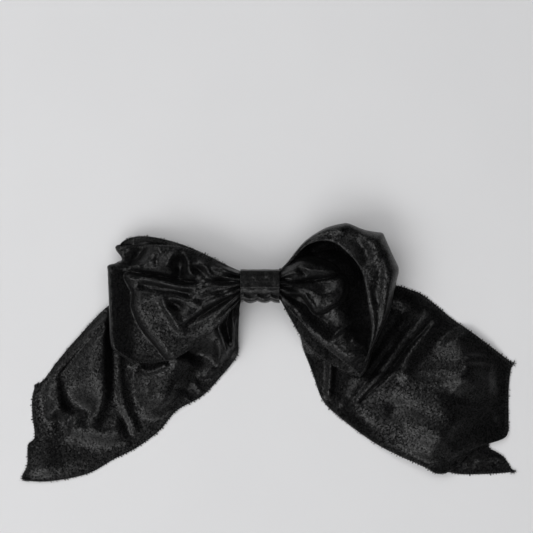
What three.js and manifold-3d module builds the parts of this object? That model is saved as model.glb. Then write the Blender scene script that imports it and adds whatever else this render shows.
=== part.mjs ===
// A hair bow: two ribbon loops and two ribbon tails, gathered with thread and held by a knot band
// on a sprung barrette clip. Millimetres, +Z up. The bow lies on its back, as on a table: the clip's
// arm rests on z = 0 with its middle at the origin, the clip runs along X and the tails spread to -Y.
import * as THREE from "three";
import { mergeVertices } from "three/addons/utils/BufferGeometryUtils.js";
import Module from "manifold-3d";

const wasm = await Module();
wasm.setup();

// ---------------------------------------------------------------- driving dimensions
const GAP = 0.3; // between pieces that touch
const CLOTH = 1.2; // thickness of one layer of ribbon
const HEM = 0.6; // radius of the overlocked thread edge
const OUTSET = HEM + 2 * GAP + 0.2; // from a cloth edge to the middle of its thread
const REST_GAP = 0.1; // cloth above the table
const TAIL_CELLS = { u: 12, v: 24 };
const LOOP_CELLS = { u: 12, v: 30 };
const LOOP_SAG = 9; // drop of a loop's back layer beyond the clip
const NECK = { half: 7.2, thick: 3.4 }; // gathered ribbon inside the knot band
const PLATE = { half: 40, width: 9, thick: 1, top: 13.5, drop: 2.5 }; // arched upper plate of the clip
const ARCH = (PLATE.half ** 2 + PLATE.drop ** 2) / (2 * PLATE.drop); // radius of the plate's upper face
const HOLD = { half: 41, width: 12 }; // the part of the plan where the plate holds the ribbons up
const ARM = { half: 3.4, thick: 0.9, window: 2.6 };
const HINGE = { x: -37, z: 4, pin: 0.7, bore: 1, knuckle: 1.8 };
const LEAF = { half: 2.7, thick: 0.5, from: -34, to: 30.5, ends: 7.3, crown: 5.5 };
const TAB = { from: 34.5, to: 38.5, thick: 0.5 };
const TAB_LINE = [[3.1, 9.1], [4.3, 6.8], [1.9, 3.8], [1.9, 1]]; // [out, up] down a squeeze tab
const BARB = [[1.9, 0.9], [2.1, 0.9], [2.3, 1.2], [1.9, 1.5]]; // [out, up] round a tab's barb
const CATCH = { from: 29, to: 39.6, half: 3.5, thick: 0.6 };
const RIVET = { x: 36.5, r: 0.8, hole: 1.1, head: 1.5, headThick: 0.4, dome: 0.6 };
const LUG = { wall: 0.2, slope: 0.3 }; // steel round the hinge knuckle, and the lug's slant up top
const KEEPER = { from: -33, to: -31, low: 5.7, wall: 0.6, half: 3.6 }; // holds the leaf's fixed end
const LEAF_REST = { from: 29, to: 30.2, low: 5.9, wall: 0.6 }; // under the leaf's free end
const SEW_HOLE = { x: 24, r: 1.2 };
const STITCH = { thread: 0.23, reach: 2.9, half: 1.5, middle: -2.6 }; // a loop of plate stitching
const BAND = { from: -14.5, to: 13.5, wall: 1.4, half: 10.3, low: 10.4, high: 29.2, round: 4 };
const CINCH = { width: 4, wall: 0.8, round: 1.5 };
const DRILL = 10; // length of the cutter for a hole through the plate or the catch

// Middle heights of the layers that the knot band holds, from the plate up.
const TAIL_Z = PLATE.top + GAP + CINCH.wall + GAP + NECK.thick / 2;
const BACK_Z = TAIL_Z + NECK.thick + GAP;
const FRONT_Z = BACK_Z + NECK.thick + GAP;

// ---------------------------------------------------------------- materials
const finish = (color, roughness, metalness) =>
  new THREE.MeshStandardMaterial({ color, roughness, metalness });
const VELVET = finish(0x101010, 0.5, 0);
const THREAD = finish(0x0c0c0c, 0.8, 0);
const STEEL = finish(0xb8babd, 0.3, 1);

// ---------------------------------------------------------------- small tools
const clamp01 = (t) => Math.min(1, Math.max(0, t));
const smooth = (a, b, t) => {
  const s = clamp01((t - a) / (b - a));
  return s * s * (3 - 2 * s);
};
const mix = (a, b, t) => a + (b - a) * t;

function solidOf(geometry) {
  const g = geometry.clone();
  g.deleteAttribute("normal");
  g.deleteAttribute("uv");
  const merged = mergeVertices(g, 1e-4);
  return new wasm.Manifold(
    new wasm.Mesh({
      numProp: 3,
      vertProperties: merged.attributes.position.array,
      triVerts: new Uint32Array(merged.index.array),
    }),
  );
}

function geometryOf(solid) {
  const mesh = solid.getMesh();
  const geometry = new THREE.BufferGeometry();
  geometry.setAttribute("position", new THREE.BufferAttribute(mesh.vertProperties, 3));
  geometry.setIndex(new THREE.BufferAttribute(mesh.triVerts, 1));
  return geometry;
}

const join = (...geometries) => geometries.map(solidOf).reduce((a, b) => a.add(b));
const cut = (solid, ...geometries) => geometries.reduce((a, g) => a.subtract(solidOf(g)), solid);
const box = (x0, x1, y0, y1, z0, z1) =>
  new THREE.BoxGeometry(x1 - x0, y1 - y0, z1 - z0).translate(
    (x0 + x1) / 2,
    (y0 + y1) / 2,
    (z0 + z1) / 2,
  );
const rodY = (r, length, x, z, sides = 24) =>
  new THREE.CylinderGeometry(r, r, length, sides).translate(x, 0, z);
const rodZ = (r, length, x, y, z, sides = 20) =>
  new THREE.CylinderGeometry(r, r, length, sides).rotateX(Math.PI / 2).translate(x, y, z);

// A bent metal strip: its middle line as [across, up] points, offset to both sides.
function stripShape(line, thick) {
  const side = (sign) =>
    line.map(([a, b], i) => {
      const [a0, b0] = line[Math.max(0, i - 1)];
      const [a1, b1] = line[Math.min(line.length - 1, i + 1)];
      const turn = new THREE.Vector2(b0 - b1, a1 - a0).normalize();
      return new THREE.Vector2(a, b).addScaledVector(turn, (sign * thick) / 2);
    });
  return new THREE.Shape([...side(-1), ...side(1).reverse()]);
}

// Extrudes an X-Z outline along Y, between y0 and y1.
const alongY = (shape, y0, y1) =>
  new THREE.ExtrudeGeometry(shape, { depth: y1 - y0, bevelEnabled: false, curveSegments: 12 })
    .rotateX(Math.PI / 2)
    .translate(0, y1, 0);

// Extrudes a Y-Z outline along X, between x0 and x1.
const alongX = (shape, x0, x1) =>
  new THREE.ExtrudeGeometry(shape, { depth: x1 - x0, bevelEnabled: false, curveSegments: 6 })
    .rotateX(Math.PI / 2)
    .rotateZ(Math.PI / 2)
    .translate(x0, 0, 0);

// Height of a surface that lies `below` the plate's upper face, following its arch.
const archZ = (x, below = 0) =>
  PLATE.top - ARCH + Math.sqrt((ARCH - below) ** 2 - x ** 2);

function archStrip(x0, x1, below, thick) {
  const steps = 14;
  const line = Array.from({ length: steps + 1 }, (_, i) => {
    const x = mix(x0, x1, i / steps);
    return [x, archZ(x, below + thick / 2)];
  });
  return stripShape(line, thick);
}

// ---------------------------------------------------------------- barrette clip
// A stamped strap that hangs from the plate or the catch: two sides and a cross piece below.
function strap({ from, to, low, wall, half }, top) {
  return [
    box(from, to, -half, -half + wall, low, top),
    box(from, to, half - wall, half, low, top),
    box(from, to, -half, half, low, low + wall),
  ];
}

function clipPlate() {
  const outer = PLATE.width / 2;
  const inner = ARM.half + GAP;
  const arch = alongY(archStrip(-PLATE.half, PLATE.half, 0, PLATE.thick), -outer, outer);
  const reach = HINGE.knuckle + LUG.wall;
  const lugTop = archZ(HINGE.x, PLATE.thick / 2);
  const lug = new THREE.Shape();
  lug.absarc(HINGE.x, HINGE.z, reach, Math.PI, 2 * Math.PI, false);
  lug.lineTo(HINGE.x + reach, lugTop);
  lug.lineTo(HINGE.x - reach, lugTop - LUG.slope);
  const body = join(
    arch,
    alongY(lug, inner, outer),
    alongY(lug, -outer, -inner),
    ...strap(KEEPER, archZ(KEEPER.from, PLATE.thick / 2)),
  );
  return geometryOf(
    cut(
      body,
      rodY(HINGE.bore, 3 * PLATE.width, HINGE.x, HINGE.z),
      rodZ(SEW_HOLE.r, DRILL, -SEW_HOLE.x, 0, PLATE.top),
      rodZ(SEW_HOLE.r, DRILL, SEW_HOLE.x, 0, PLATE.top),
      rodZ(RIVET.hole, DRILL, RIVET.x, 0, archZ(RIVET.x)),
    ),
  );
}

function hingePin() {
  const shaft = PLATE.width / 2 + GAP;
  const head = { r: 1.3, thick: 0.5 };
  const profile = [
    [0, -shaft - head.thick],
    [head.r, -shaft - head.thick],
    [head.r, -shaft],
    [HINGE.pin, -shaft],
    [HINGE.pin, shaft],
    [head.r, shaft],
    [head.r, shaft + head.thick],
    [0, shaft + head.thick],
  ].map(([r, y]) => new THREE.Vector2(r, y));
  return new THREE.LatheGeometry(profile, 20).translate(HINGE.x, 0, HINGE.z);
}

function clipArm() {
  const mid = ARM.thick / 2;
  const line = [
    [HINGE.x - 0.4, HINGE.z - HINGE.knuckle + mid],
    [HINGE.x + 2.2, HINGE.z - HINGE.knuckle],
    [-31, mid],
    [30, mid],
    [33, mid + 1.6],
    [40, mid + 1.6],
    [42, mid + 0.9],
  ];
  const strip = alongY(stripShape(line, ARM.thick), -ARM.half, ARM.half);
  const knuckle = rodY(HINGE.knuckle, 2 * ARM.half, HINGE.x, HINGE.z);
  return geometryOf(
    cut(
      join(strip, knuckle),
      rodY(HINGE.bore, 4 * ARM.half, HINGE.x, HINGE.z),
      box(TAB.from - GAP, TAB.to + GAP, -ARM.window, ARM.window, 0, HINGE.z),
    ),
  );
}

function tensionLeaf() {
  const steps = 12;
  const line = Array.from({ length: steps + 1 }, (_, i) => {
    const t = i / steps;
    const sag = (LEAF.ends - LEAF.crown) * (1 - (2 * t - 1) ** 2);
    return [mix(LEAF.from, LEAF.to, t), LEAF.ends - sag];
  });
  const hook = [LEAF.from - 0.6, LEAF.ends + 1.1];
  return alongY(stripShape([hook, ...line], LEAF.thick), -LEAF.half, LEAF.half);
}

// The catch: a base riveted under the plate, with a rest for the leaf's free end.
function catchBase() {
  const below = PLATE.thick + GAP;
  const base = alongY(archStrip(CATCH.from, CATCH.to, below, CATCH.thick), -CATCH.half, CATCH.half);
  const restTop = archZ(LEAF_REST.to, below + CATCH.thick / 2);
  return geometryOf(
    cut(
      join(base, ...strap({ ...LEAF_REST, half: CATCH.half }, restTop)),
      rodZ(RIVET.hole, DRILL, RIVET.x, 0, archZ(RIVET.x)),
    ),
  );
}

function catchRivet() {
  const below = PLATE.thick + CATCH.thick + 3 * GAP; // plate, catch base and the gaps between them
  const profile = [
    [0, -below - RIVET.headThick],
    [RIVET.head, -below - RIVET.headThick],
    [RIVET.head, -below],
    [RIVET.r, -below],
    [RIVET.r, 0],
    [RIVET.head, 0],
    [RIVET.head - 0.5, RIVET.dome - 0.1],
    [0, RIVET.dome],
  ].map(([r, y]) => new THREE.Vector2(r, y));
  const lean = Math.asin(RIVET.x / ARCH);
  return new THREE.LatheGeometry(profile, 16)
    .rotateX(Math.PI / 2)
    .translate(0, 0, GAP)
    .rotateY(lean)
    .translate(RIVET.x, 0, archZ(RIVET.x));
}

// One squeeze tab: it hangs from the catch base, swells out to a finger pad and drops through the
// arm's window to a small barb. side is -1 for the front tab and 1 for the back one.
function catchTab(side) {
  const line = TAB_LINE.map(([y, z]) => [side * y, z]);
  const barb = new THREE.Shape(BARB.map(([y, z]) => new THREE.Vector2(side * y, z)));
  return geometryOf(
    join(
      alongX(stripShape(line, TAB.thick), TAB.from, TAB.to),
      alongX(barb, TAB.from, TAB.to),
    ),
  );
}

// ---------------------------------------------------------------- knot
function ringShape(halfY, low, high, round, wall) {
  const path = (Kind, h, z0, z1, r) => {
    const p = new Kind();
    p.moveTo(h, z0 + r);
    p.lineTo(h, z1 - r);
    p.absarc(h - r, z1 - r, r, 0, Math.PI / 2, false);
    p.absarc(-h + r, z1 - r, r, Math.PI / 2, Math.PI, false);
    p.absarc(-h + r, z0 + r, r, Math.PI, 1.5 * Math.PI, false);
    p.absarc(h - r, z0 + r, r, 1.5 * Math.PI, 2 * Math.PI, false);
    return p;
  };
  const shape = path(THREE.Shape, halfY, low, high, round);
  const inside = Math.max(0.5, round - wall);
  shape.holes.push(path(THREE.Path, halfY - wall, low + wall, high - wall, inside));
  return shape;
}

const knotBand = () =>
  alongX(ringShape(BAND.half, BAND.low, BAND.high, BAND.round, BAND.wall), BAND.from, BAND.to);

const cinchThread = () =>
  alongX(
    ringShape(
      NECK.half + GAP + CINCH.wall,
      PLATE.top + GAP,
      FRONT_Z + NECK.thick / 2 + GAP + CINCH.wall,
      CINCH.round,
      CINCH.wall,
    ),
    -CINCH.width / 2,
    CINCH.width / 2,
  );

// A stitch through one of the plate's end holes and round its front edge.
function plateStitch(x) {
  return new THREE.TorusGeometry(1, STITCH.thread, 6, 20)
    .rotateY(Math.PI / 2)
    .scale(STITCH.half, STITCH.reach, STITCH.half)
    .translate(x, STITCH.middle, archZ(x, PLATE.thick / 2));
}

// ---------------------------------------------------------------- ribbon surfaces
function curveOf(points) {
  const spots = points.map(([x, y]) => new THREE.Vector3(x, y, 0));
  return new THREE.CatmullRomCurve3(spots, false, "centripetal");
}

// A Coons patch in plan: u runs from the low hem to the high hem, v from the knot to the far end.
function planPatch({ low, high, end }) {
  const curves = { low: curveOf(low), high: curveOf(high), end: curveOf(end) };
  const a = curves.low.getPointAt(0);
  const b = curves.high.getPointAt(0);
  const c = curves.low.getPointAt(1);
  const d = curves.high.getPointAt(1);
  return (u, v) => {
    const l = curves.low.getPointAt(v);
    const h = curves.high.getPointAt(v);
    const e = curves.end.getPointAt(u);
    const sum = (k) => {
      const near = mix(a[k], b[k], u);
      const far = mix(c[k], d[k], u);
      return mix(l[k], h[k], u) + mix(near, e[k], v) - mix(near, far, v);
    };
    return [sum("x"), sum("y")];
  };
}

// Height that soft folds add at a place in plan. A fold is a crest line with a width and a height.
const folded = (folds) => {
  const lines = folds.map(([width, height, ...points]) => ({
    width,
    height,
    spots: curveOf(points).getSpacedPoints(24),
  }));
  return (x, y) =>
    lines.reduce((sum, { width, height, spots }) => {
      const near = Math.min(...spots.map((s) => Math.hypot(s.x - x, s.y - y)));
      return sum + height * Math.exp(-((near / width) ** 2));
    }, 0);
};

// How far a place lies outside the plate, which holds the ribbons up.
const fromPlate = (x, y) =>
  Math.hypot(Math.max(0, Math.abs(x) - HOLD.half), Math.max(0, Math.abs(y) - HOLD.width / 2));

// A closed solid from a middle surface point(u, v) with thickness thick(v), in u by v cells.
function sheet({ point, thick }, { u: nu, v: nv }) {
  const at = (i, j) => new THREE.Vector3(...point(i / nu, j / nv));
  const row = (j) => Array.from({ length: nu + 1 }, (_, i) => at(i, j));
  const grid = Array.from({ length: nv + 1 }, (_, j) => row(j));
  const positions = [];
  for (const side of [1, -1])
    for (let j = 0; j <= nv; j++)
      for (let i = 0; i <= nu; i++) {
        const across = grid[j][Math.min(nu, i + 1)].clone().sub(grid[j][Math.max(0, i - 1)]);
        const along = grid[Math.min(nv, j + 1)][i].clone().sub(grid[Math.max(0, j - 1)][i]);
        const normal = across.cross(along).normalize();
        positions.push(...grid[j][i].clone().addScaledVector(normal, (side * thick(j / nv)) / 2));
      }
  const id = (side, i, j) => side * (nu + 1) * (nv + 1) + j * (nu + 1) + i;
  const index = [];
  const quad = (a, b, c, d) => index.push(a, b, c, a, c, d);
  for (let j = 0; j < nv; j++)
    for (let i = 0; i < nu; i++) {
      quad(id(0, i, j), id(0, i + 1, j), id(0, i + 1, j + 1), id(0, i, j + 1));
      quad(id(1, i, j), id(1, i, j + 1), id(1, i + 1, j + 1), id(1, i + 1, j));
    }
  for (let i = 0; i < nu; i++) {
    quad(id(0, i, 0), id(1, i, 0), id(1, i + 1, 0), id(0, i + 1, 0));
    quad(id(0, i + 1, nv), id(1, i + 1, nv), id(1, i, nv), id(0, i, nv));
  }
  for (let j = 0; j < nv; j++) {
    quad(id(0, 0, j + 1), id(1, 0, j + 1), id(1, 0, j), id(0, 0, j));
    quad(id(0, nu, j), id(1, nu, j), id(1, nu, j + 1), id(0, nu, j + 1));
  }
  const geometry = new THREE.BufferGeometry();
  geometry.setAttribute("position", new THREE.Float32BufferAttribute(positions, 3));
  geometry.setIndex(index);
  const closed = solidOf(geometry);
  if (closed.volume() > 0) return geometryOf(closed);
  for (let k = 0; k < index.length; k += 3) {
    [index[k + 1], index[k + 2]] = [index[k + 2], index[k + 1]];
  }
  geometry.setIndex(index);
  return geometryOf(solidOf(geometry));
}

// The thread along a run of hem points.
function hemTube(points, steps) {
  const section = new THREE.Shape();
  section.absarc(0, 0, HEM, 0, 2 * Math.PI, false);
  return new THREE.ExtrudeGeometry(section, {
    steps,
    curveSegments: 3,
    bevelEnabled: false,
    extrudePath: new THREE.CatmullRomCurve3(points, false, "centripetal"),
  });
}

// ---------------------------------------------------------------- tails
const LEFT_TAIL = {
  low: [
    [-0.3, -7.2], [-16.5, -7.8], [-18.5, -18], [-16, -35], [-15, -46], [-28, -62],
    [-54, -81.6], [-81, -106], [-109, -121.4], [-136, -126.5], [-151, -126],
  ],
  high: [
    [-0.3, 7.2], [-15, 6.5], [-45, 3], [-75, -3], [-96.7, -12], [-116, -32],
    [-130.4, -48.5], [-145, -64.5],
  ],
  end: [[-151, -126], [-150.5, -113], [-149.5, -102], [-146.5, -92], [-147, -78], [-145, -64.5]],
  folds: [
    [9, 7, [-99, -26], [-101, -55], [-104, -84]],
    [4.5, 8, [-92, -38], [-90, -62], [-84, -84]],
    [13, 9, [-60, -46], [-66, -66], [-74, -88]],
    [9, 6, [-24, -28], [-34, -56]],
    [7, 4, [-128, -84], [-134, -104]],
  ],
};
const RIGHT_TAIL = {
  low: [
    [0.3, -7.2], [14.2, -7.8], [23, -22], [27.6, -39.7], [34, -57.3], [41, -75], [52, -86],
    [69.7, -99.3], [85, -108], [105, -117], [118, -122.5], [140, -122.5], [161, -120],
  ],
  high: [
    [0.3, 7.2], [14, 6.5], [50, 4], [85, 0], [107, -7.6], [125, -22], [140.4, -33],
    [163.5, -51.5],
  ],
  end: [[161, -120], [154, -108], [156, -98], [160, -88], [160.5, -70.5], [163.5, -51.5]],
  folds: [
    [4, 5, [101, -20], [81, -37], [65, -59], [52, -79]],
    [6, 8, [112, -16], [94, -33], [76, -55], [58, -80]],
    [20, 9, [118, -34], [108, -66], [100, -98]],
    [10, 5, [132, -58], [150, -66]],
    [8, 4, [122, -112], [146, -96]],
  ],
};

// The lowest a loop's back layer hangs over a place in plan: tails stay below it.
const loopBackZ = (x, y) => BACK_Z - LOOP_SAG * smooth(0, 56, fromPlate(x, y));

function tailSurface(tail) {
  const plan = planPatch(tail);
  const rise = folded(tail.folds);
  const thick = (v) => mix(NECK.thick, CLOTH, smooth(0.05, 0.2, v));
  const point = (u, v) => {
    const [x, y] = plan(u, v);
    const away = fromPlate(x, y);
    const held = TAIL_Z * (1 - smooth(0, 62, away));
    const free = smooth(8, 40, away) * smooth(0, 0.1, u) * smooth(0, 0.1, 1 - u);
    const ceiling = loopBackZ(x, y) - (NECK.thick + thick(v)) / 2 - GAP;
    const lowest = thick(v) / 2 + REST_GAP;
    return [x, y, Math.max(lowest, Math.min(ceiling, held + rise(x, y) * free))];
  };
  return { point, thick };
}

// The tail's thread runs down the high hem, across the cut end and back along the low hem, through
// the same rows as the cloth's own edge.
function tailHem({ point }) {
  const first = 6;
  const edge = (u, v, du, dv) => {
    const p = new THREE.Vector3(...point(u, v));
    const out = p.clone().sub(new THREE.Vector3(...point(u - 0.04 * du, v - 0.04 * dv)));
    return p.addScaledVector(out.normalize(), du && dv ? OUTSET * Math.SQRT2 : OUTSET);
  };
  const rows = Array.from({ length: TAIL_CELLS.v - first }, (_, j) => (j + first) / TAIL_CELLS.v);
  const columns = Array.from({ length: TAIL_CELLS.u - 1 }, (_, i) => (i + 1) / TAIL_CELLS.u);
  const points = [
    ...rows.map((v) => edge(1, v, 1, 0)),
    edge(1, 1, 1, 1),
    ...columns.reverse().map((u) => edge(u, 1, 0, 1)),
    edge(0, 1, -1, 1),
    ...rows.reverse().map((v) => edge(0, v, -1, 0)),
  ];
  for (const p of points) p.z = Math.max(p.z, HEM + REST_GAP);
  return hemTube(points, 2 * (points.length - 1));
}

// ---------------------------------------------------------------- loops
const LEFT_LOOP = {
  low: [[-0.3, -7.2], [-15.2, -8], [-32, -24], [-48, -38], [-60, -47.5], [-82, -49.4]],
  high: [[-0.3, 7.2], [-15.2, 8], [-36.5, 19], [-54, 25.5], [-73, 30], [-87, 28.4]],
  end: [[-82, -49.4], [-94, -42], [-97, -22], [-97, 2], [-95, 14], [-90.5, 22], [-87, 28.4]],
  crown: 34,
  folds: [
    [9, 5, [-30, -10], [-52, -22], [-60, -34]],
    [6, -7, [-26, 1], [-50, 4], [-80, 8]],
    [8, 4, [-30, 12], [-52, 18], [-74, 22]],
    [13, -6, [-86, -12], [-78, -30], [-68, -44]],
  ],
};
const RIGHT_LOOP = {
  low: [[0.3, -7.2], [14.2, -8], [19, -17], [25.4, -23], [45, -41], [62, -56]],
  high: [
    [0.3, 7.2], [14.2, 8], [19, 17], [29.8, 29], [41, 35.6], [55.2, 37.8], [65, 35.8],
    [75, 33],
  ],
  end: [
    [62, -56], [70, -44], [78, -26], [82.5, -13], [86, 4], [86, 13], [81, 24], [75, 33],
  ],
  crown: 30,
  folds: [
    [7, 5, [22, 2], [36, 2], [48, -2]],
    [11, -5, [38, 24], [54, 16], [60, -6], [58, -30]],
    [7, 4, [40, 33], [62, 26], [71, 2], [70, -30], [65, -48]],
    [9, 4, [34, -22], [48, -36]],
  ],
};

function loopSurface(loop) {
  const plan = planPatch(loop);
  const rise = folded(loop.folds);
  const reach = 95; // from the knot to the far turn
  const turn = 8; // radius of the turn
  const straight = reach - turn;
  const total = 2 * straight + Math.PI * turn;
  const thick = (v) => mix(NECK.thick, CLOTH, smooth(0.05, 0.14, Math.min(v, 1 - v)));
  const point = (u, v) => {
    const s = v * total;
    const angle = clamp01((s - straight) / (Math.PI * turn)) * Math.PI;
    const out = Math.min(s, total - s, straight) + turn * Math.sin(angle);
    const p = out / reach;
    const [x, y] = plan(u, p);
    const back = loopBackZ(x, y);
    const puff = smooth(0.12, 0.45, p);
    const front = mix(FRONT_Z, loop.crown, puff) - 7 * smooth(0.6, 1, p) + rise(x, y) * puff;
    return [x, y, mix(back, front, (1 + Math.cos(angle)) / 2)];
  };
  return { point, thick };
}

// The thread along one hem of a loop, out on the front layer and home on the back one.
function loopHem({ point }, u) {
  const first = 4;
  const inward = u ? -0.04 : 0.04;
  const points = [];
  for (let j = first; j <= LOOP_CELLS.v - first; j++) {
    const v = j / LOOP_CELLS.v;
    const p = new THREE.Vector3(...point(u, v));
    const out = p.clone().sub(new THREE.Vector3(...point(u + inward, v)));
    points.push(p.addScaledVector(out.normalize(), OUTSET));
  }
  return hemTube(points, 2 * (points.length - 1));
}

// ---------------------------------------------------------------- assembly
const bow = new THREE.Group();
function add(name, geometry, material) {
  const mesh = new THREE.Mesh(geometry, material);
  mesh.name = name;
  bow.add(mesh);
}

add("clip_plate", clipPlate(), STEEL);
add("clip_arm", clipArm(), STEEL);
add("hinge_pin", hingePin(), STEEL);
add("tension_leaf", tensionLeaf(), STEEL);
add("catch_base", catchBase(), STEEL);
add("catch_rivet", catchRivet(), STEEL);
add("catch_tab_front", catchTab(-1), STEEL);
add("catch_tab_back", catchTab(1), STEEL);
add("knot_band", knotBand(), VELVET);
add("cinch_thread", cinchThread(), THREAD);
add("plate_stitch_left", plateStitch(-SEW_HOLE.x), THREAD);
add("plate_stitch_right", plateStitch(SEW_HOLE.x), THREAD);

for (const [side, tail, loop] of [["left", LEFT_TAIL, LEFT_LOOP], ["right", RIGHT_TAIL, RIGHT_LOOP]]) {
  const tailCloth = tailSurface(tail);
  const loopCloth = loopSurface(loop);
  add(`${side}_tail`, sheet(tailCloth, TAIL_CELLS), VELVET);
  add(`${side}_tail_hem`, tailHem(tailCloth), THREAD);
  add(`${side}_loop`, sheet(loopCloth, LOOP_CELLS), VELVET);
  add(`${side}_loop_low_hem`, loopHem(loopCloth, 0), THREAD);
  add(`${side}_loop_high_hem`, loopHem(loopCloth, 1), THREAD);
}

export default bow;
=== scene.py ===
"""A black velvet hair bow on a steel barrette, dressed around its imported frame. Metres, +Z up."""
import math

import bpy
import numpy as np
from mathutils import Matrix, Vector, noise


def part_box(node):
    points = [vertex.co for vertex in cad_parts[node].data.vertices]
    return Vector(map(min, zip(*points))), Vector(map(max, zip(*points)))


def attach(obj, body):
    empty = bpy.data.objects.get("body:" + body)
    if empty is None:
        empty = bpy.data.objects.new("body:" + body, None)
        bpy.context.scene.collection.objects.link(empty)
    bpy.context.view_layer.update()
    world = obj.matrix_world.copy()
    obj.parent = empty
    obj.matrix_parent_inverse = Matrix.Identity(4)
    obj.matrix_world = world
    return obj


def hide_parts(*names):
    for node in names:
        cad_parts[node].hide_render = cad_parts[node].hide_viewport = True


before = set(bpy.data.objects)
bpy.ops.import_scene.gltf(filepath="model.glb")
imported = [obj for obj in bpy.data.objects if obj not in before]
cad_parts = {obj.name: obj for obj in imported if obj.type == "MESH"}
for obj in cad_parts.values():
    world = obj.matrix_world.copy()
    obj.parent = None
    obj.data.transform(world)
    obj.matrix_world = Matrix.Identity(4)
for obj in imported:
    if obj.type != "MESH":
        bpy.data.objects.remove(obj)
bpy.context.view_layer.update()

MM = 0.001


def mm(*points):
    """Points written in millimetres, as an array in metres."""
    return np.array(points, float) * MM


# ---------------------------------------------------------------- driving dimensions
CLOTH = 0.7 * MM  # thickness of the velvet
KNOT_CLOTH = 1.0 * MM  # thickness of the knot band, which is folded lengthwise
TUFT = 0.85 * MM  # size of a tuft of the velvet's pile

REST = 0.65 * MM  # height of a tail's middle surface where it lies on the table
PLATE_HALF = (41 * MM, 6 * MM)  # half the length and width of the clip under the tails
TAIL_TOP = 16.5 * MM  # how high the tails leave the clip
TAIL_LIE = 0.8 * MM  # how high a tail lies beyond the clip, before its folds are added
CORNER_HEIGHT = 0.6 * MM  # the turned-under corner lies on the table
FOLDED_COLUMNS = 64  # how much of the right tail's end is folded, counted in mesh columns

NECK = 22.5 * MM  # height of a loop's front layer at the knot's ends
NECK_ARCH = 5.5 * MM  # how much higher it is in the middle of the knot
PLEAT = 1.3 * MM  # depth of the gathers beside the knot

STITCH_PITCH = 1.8 * MM  # spacing of the overlock stitches
THREAD = 0.22 * MM  # radius of the overlock thread
THREAD_SIDES = 5  # corners of a thread's section
BITE = (2.2 * MM, 0.6 * MM)  # how far a stitch reaches into the cloth, and how much that varies
PROUD = (0.35 * MM, 1.0 * MM)  # how far it stands off the edge, and how much that varies
FRAYED_ENDS = 9  # loose thread ends at a frayed corner
FRAY_LENGTH = (1.6 * MM, 1.8 * MM)  # how long a loose end is, and how much that varies
FRAY_LIFT = (0.7 * MM, 0.9 * MM)  # how high it starts, and how much it may rise

KNOT_LOW, KNOT_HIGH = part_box("knot_band")
KNOT_INSET = 1.6 * MM  # the dressed knot is a little narrower than its node
SCALLOP = 8.6 * MM  # spacing of the scallops along the knot's front

SKY_OPENING = (28, 52)  # the dark opening's edge fades between these degrees from straight up
SKY_BRIGHT_SIDE = (-0.94, -0.34)  # the side where the tent is brightest
SKY_LEAN = 0.95  # how much brighter it is there, and darker opposite
SKY_STRENGTH = 0.19  # the tent's brightness between those two sides
FLOOR_HALF = 3.0  # half the width of the paper that the bow lies on
VIEW_WIDTH = 346.45 * MM  # how much of the table the picture spans
CAMERA_PLACE = (3.6 * MM, 12 * MM, 1.1)  # the bow lies below the picture's middle
SENSOR = 36  # width of the camera's sensor, in millimetres as Blender counts it
AIM = (0, -0.04, 0)  # where the lights point

# scales of the textures, in marks to a metre
CRUSH = 95  # crushed patches of velvet
TWIST = 2400  # strands of the thread
BRUSH = 900  # brush marks on the steel
BRUSH_STRETCH = 0.06  # share of that scale along the clip, which makes the marks long
MOTTLE = 9  # clouds in the paper


# ---------------------------------------------------------------- curves and surfaces
def smooth_line(points, count):
    """A smooth curve through the points, as evenly spaced points."""
    p = np.asarray(points, float)
    p = np.vstack([2 * p[0] - p[1], p, 2 * p[-1] - p[-2]])
    t = np.linspace(0, 1, 24, endpoint=False)[:, None]
    runs = []
    for a, b, c, d in zip(p, p[1:], p[2:], p[3:]):
        square = (2 * a - 5 * b + 4 * c - d) * t**2
        cube = (3 * b - a - 3 * c + d) * t**3
        runs.append(0.5 * (2 * b + (c - a) * t + square + cube))
    fine = np.vstack([*runs, p[-2][None]])
    reach = np.concatenate([[0], np.cumsum(np.linalg.norm(np.diff(fine, axis=0), axis=1))])
    where = np.linspace(0, reach[-1], count)
    return np.stack([np.interp(where, reach, fine[:, k]) for k in range(fine.shape[1])], 1)


def unit(vectors):
    """Each row's vector, at length one."""
    return vectors / (np.linalg.norm(vectors, axis=1)[:, None] + 1e-12)


def ease(a, b, t):
    """0 before a, 1 after b, and a smooth climb between them."""
    s = np.clip((np.asarray(t, float) - a) / (b - a), 0, 1)
    return s * s * (3 - 2 * s)


def plan_patch(low, high, end, across, along):
    """Plan positions [along, across, xy] of a patch between two hems and an end line."""
    lo = smooth_line(low, along + 1)[:, None]
    hi = smooth_line(high, along + 1)[:, None]
    far = smooth_line(end, across + 1)[None]
    u = np.linspace(0, 1, across + 1)[None, :, None]
    v = np.linspace(0, 1, along + 1)[:, None, None]
    corner = lo[-1:] + (hi[-1:] - lo[-1:]) * u
    return lo + (hi - lo) * u + v * (far - corner)


# ---------------------------------------------------------------- folds, as heights over the plan
def nearest(plan, line):
    """Signed distance to a line, positive on its left, and how far along it, for each place."""
    flat = plan.reshape(-1, 2)
    gap = flat[:, None] - line[None]
    which = np.argmin((gap**2).sum(2), 1)
    tangent = unit(np.gradient(line, axis=0)[which])
    off = gap[np.arange(len(flat)), which]
    side = tangent[:, 0] * off[:, 1] - tangent[:, 1] * off[:, 0]
    distance = np.linalg.norm(off, axis=1) * np.sign(side)
    return distance.reshape(plan.shape[:2]), (which / (len(line) - 1)).reshape(plan.shape[:2])


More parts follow.
